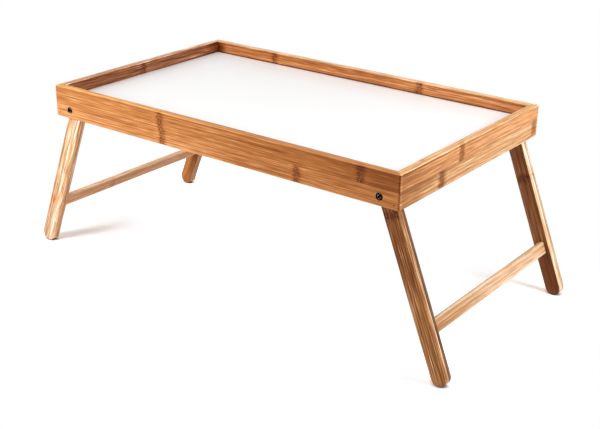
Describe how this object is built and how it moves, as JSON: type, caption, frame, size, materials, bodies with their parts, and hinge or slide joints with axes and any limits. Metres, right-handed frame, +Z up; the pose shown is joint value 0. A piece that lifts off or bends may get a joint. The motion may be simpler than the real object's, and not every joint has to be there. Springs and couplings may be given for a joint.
{
  "type": "bed tray table",
  "caption": "Rectangular bed tray with a mitred bamboo rim, a white housed bottom panel and splayed U-shaped leg frames that fold flat under it.",
  "frame": {"origin": "on the floor at the centre of the footprint, with the legs open", "axes": "+X along the tray's length to the right, front towards -Y, +Z up"},
  "size_m": [0.618, 0.3, 0.2244],
  "materials": {
    "bamboo_rim": "clear satin lacquer on caramel laminated bamboo",
    "bamboo_leg": "clear satin lacquer on caramel and natural laminated bamboo",
    "bamboo_stretcher": "clear satin lacquer on caramel laminated bamboo",
    "white_panel": "smooth white satin facing on fibreboard",
    "dark_screw": "black oxide",
    "washer_steel": "zinc plated",
    "brad_steel": "dull, darkened head"
  },
  "bodies": {
    "tray": {"front_board": "bamboo_rim", "back_board": "bamboo_rim", "left_end_board": "bamboo_rim", "right_end_board": "bamboo_rim", "tray_panel": "white_panel", "front_left_brad": "brad_steel", "back_left_brad": "brad_steel", "front_right_brad": "brad_steel", "back_right_brad": "brad_steel"},
    "left_leg_frame": {"front_left_leg": "bamboo_leg", "back_left_leg": "bamboo_leg", "left_stretcher": "bamboo_stretcher", "front_left_screw": "dark_screw", "back_left_screw": "dark_screw", "front_left_washer": "washer_steel", "back_left_washer": "washer_steel"},
    "right_leg_frame": {"front_right_leg": "bamboo_leg", "back_right_leg": "bamboo_leg", "right_stretcher": "bamboo_stretcher", "front_right_screw": "dark_screw", "back_right_screw": "dark_screw", "front_right_washer": "washer_steel", "back_right_washer": "washer_steel"}
  },
  "joints": [
    {"name": "left_leg_fold", "type": "hinge", "parent": "tray", "child": "left_leg_frame", "pos_m": [-0.22581, 0, 0.1963], "axis": [0, -1, 0], "range_deg": [0, 111.5]},
    {"name": "right_leg_fold", "type": "hinge", "parent": "tray", "child": "right_leg_frame", "pos_m": [0.22581, 0, 0.1963], "axis": [0, 1, 0], "range_deg": [0, 111.5]}
  ]
}
